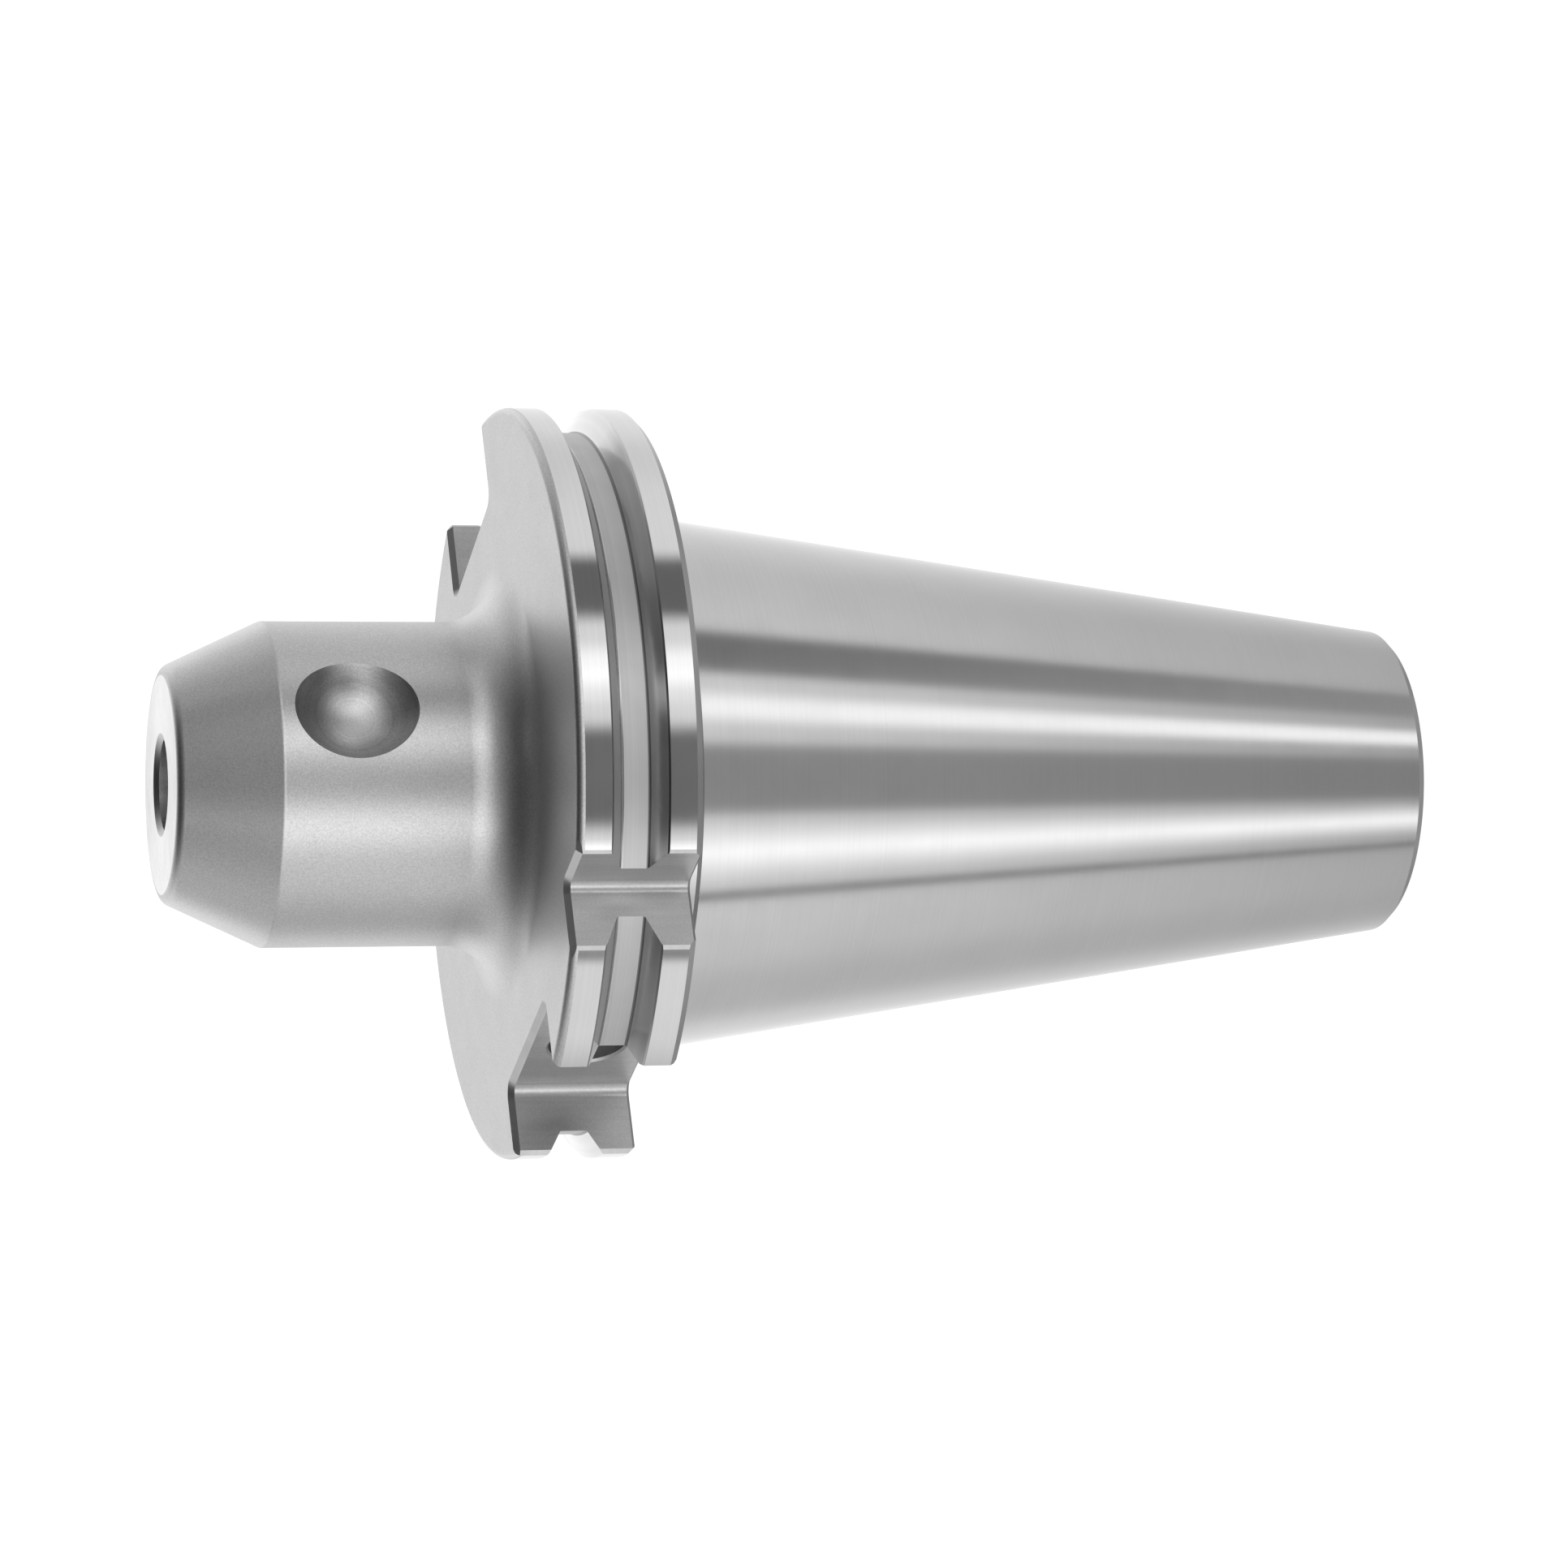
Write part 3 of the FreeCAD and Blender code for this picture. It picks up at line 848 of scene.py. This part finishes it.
bpy.context.scene.collection.objects.link(cam)
bpy.context.scene.camera = cam

# ------------------------------------------------------------------ studio
world = bpy.data.worlds.new("studio")
bpy.context.scene.world = world
world.use_nodes = True
wt = world.node_tree
wt.nodes.clear()
t = Tree(wt)
tc = t.new("ShaderNodeTexCoord")
rot = t.new("ShaderNodeVectorRotate", rotation_type="Z_AXIS")
t.put(rot.inputs["Vector"], tc.outputs["Generated"])
rot.inputs["Angle"].default_value = -PHI
sep = t.new("ShaderNodeSeparateXYZ")
t.put(sep.inputs[0], rot.outputs[0])
az = t.math("MULTIPLY", t.math("ARCTAN2", sep.outputs[1], sep.outputs[0]), 180.0 / math.pi)
high = t.math("MULTIPLY", t.math("ARCSINE", sep.outputs[2]), 180.0 / math.pi)


def soft(value, inner, outer):
    """1 where value is below inner, falling smoothly to 0 at outer."""
    n = t.new("ShaderNodeMapRange", interpolation_type="SMOOTHSTEP", clamp=True)
    t.put(n.inputs["Value"], value)
    for name, v in (("From Min", inner), ("From Max", outer), ("To Min", 1.0), ("To Max", 0.0)):
        n.inputs[name].default_value = v
    return n.outputs["Result"]


def graded(stops):
    """Brightness of the room by height above or below the horizon: (degrees, brightness)."""
    n = t.new("ShaderNodeValToRGB")
    n.color_ramp.interpolation = "LINEAR"
    els = n.color_ramp.elements
    while len(els) > 1:
        els.remove(els[-1])
    for k, (deg, b) in enumerate(stops):
        pos = (deg + 90.0) / 180.0
        e = els[0] if k == 0 else els.new(pos)
        e.position = pos
        e.color = (b / 2, b / 2, b / 2, 1)  # a ramp holds up to 1, so it holds half
    t.put(n.inputs[0], t.math("DIVIDE", t.math("ADD", high, 90.0), 180.0))
    parts = t.new("ShaderNodeSeparateColor")
    t.put(parts.inputs[0], n.outputs[0])
    return t.math("MULTIPLY", parts.outputs[0], 2.0)


def blend(a, b, w):
    return t.math("ADD", t.math("MULTIPLY", a, t.math("SUBTRACT", 1.0, w)), t.math("MULTIPLY", b, w))


# The room: brightness by height, on the camera's side of the object and behind it.
ROOM_FRONT = [(-90, 0.09), (-60, 0.30), (-40, 0.24), (-28, 1.13), (-14, 0.98), (2, 1.20), (18, 1.00), (34, 0.17),
              (50, 0.20), (62, 0.03), (90, 0.02)]
ROOM_BACK = [(-90, 0.37), (-58, 0.45), (-44, 0.28), (-28, 0.60), (-14, 1.05), (2, 0.25), (18, 0.66), (39, 0.78),
             (46, 0.27), (62, 0.03), (90, 0.02)]
# Softboxes and dark flags: turn from the camera's side, half width, edge, height, half height, edge (degrees), brightness.
PANELS = [
    (-32, 5.4, 11.5, -12, 48, 12, 1.80),    # tall soft strip, left
    (-28, 10, 1.5, 1, 16, 6, 2.00),         # its hot centre
    (35.4, 5.5, 3.8, -23, 39, 4, 1.48),     # tall soft strip, right
    (29.2, 5, 2.0, 6.5, 15.5, 6.2, 2.40),   # its hot centre
    (2, 14.9, 4, -40, 35.5, 4.0, 0.28),     # dark gap under the camera
    (2, 13.2, 3, -15, 10.5, 2.5, 0.19),      # darkest part of it
    (2, 14.9, 4, -31, 3.5, 3, 0.46),        # faint light across it
    (61.7, 10.7, 3.4, -15.5, 17.0, 5, 0.17),  # flag, right
    (-52.4, 2.4, 2.0, -30, 23, 5, 0.27),     # gap beside the left strip
    (-111, 17.7, 12, -4, 16, 18.5, 0.54),   # dim side, left
    (-156, 25.5, 9.5, 9.4, 17.5, 9, 1.30),  # backlight, left
    (159, 24.5, 13.8, 8.5, 17, 4.5, 1.34),  # backlight, right
    (104, 6, 13, 26, 35, 4, 0.19),          # flag, right and behind
    (119, 11, 9.4, 6, 21, 10, 0.82),        # fill behind it
    (38.5, 4, 3, 50, 18, 8, 0.30),          # top strip
    (74, 8, 3.5, 43, 23, 12, 0.07),         # flag above the right side
]
near, far_side = graded(ROOM_FRONT), graded(ROOM_BACK)
level = blend(far_side, near, soft(t.math("ABSOLUTE", az), 31.0, 127.0))
for turn, half_w, edge_w, tilt, half_h, edge_h, bright in PANELS:
    across = t.math("ABSOLUTE", t.math("WRAP", t.math("SUBTRACT", az, float(turn)), 180.0, -180.0))
    upward = t.math("ABSOLUTE", t.math("SUBTRACT", high, float(tilt)))
    w = t.math("MULTIPLY", soft(across, half_w - edge_w, half_w + edge_w), soft(upward, half_h - edge_h, half_h + edge_h))
    level = blend(level, bright, w)
level = t.math("MAXIMUM", level, 0.01)
lit = t.new("ShaderNodeBackground")
t.put(lit.inputs["Color"], t.grey(level))
lit.inputs["Strength"].default_value = 1.0
plain = t.new("ShaderNodeBackground")
plain.inputs["Color"].default_value = (1, 1, 1, 1)
plain.inputs["Strength"].default_value = 1.05
ray = t.new("ShaderNodeLightPath")
pick = t.new("ShaderNodeMixShader")
t.put(pick.inputs[0], ray.outputs["Is Camera Ray"])
t.put(pick.inputs[1], lit.outputs[0])
t.put(pick.inputs[2], plain.outputs[0])
wo = t.new("ShaderNodeOutputWorld")
t.put(wo.inputs["Surface"], pick.outputs[0])

# pale floor
fm = bpy.data.meshes.new("floor")
half = 4.0
low = -0.0002  # just under the end face that stands on it
fm.from_pydata([(-half, -half, low), (half, -half, low), (half, half, low), (-half, half, low)], [], [(0, 1, 2, 3)])
floor = bpy.data.objects.new("floor", fm)
bpy.context.scene.collection.objects.link(floor)
floor_mat = bpy.data.materials.new("pale_floor")
floor_mat.use_nodes = True
ft = Tree(floor_mat.node_tree)
floor_mat.node_tree.nodes.clear()
fo = ft.new("ShaderNodeOutputMaterial")
add = ft.new("ShaderNodeAddShader")
dif = ft.new("ShaderNodeBsdfDiffuse")
dif.inputs["Color"].default_value = (0.35, 0.35, 0.35, 1)
emi = ft.new("ShaderNodeEmission")
emi.inputs["Color"].default_value = (1, 1, 1, 1)
emi.inputs["Strength"].default_value = 0.93
ft.put(add.inputs[0], dif.outputs[0])
ft.put(add.inputs[1], emi.outputs[0])
ft.put(fo.inputs["Surface"], add.outputs[0])
fm.materials.append(floor_mat)
floor.visible_glossy = False
floor.visible_shadow = False
floor.visible_diffuse = False

bpy.context.scene.view_settings.view_transform = "Standard"
bpy.context.scene.view_settings.look = "None"

# ------------------------------------------------------------------ final update
bpy.context.view_layer.update()
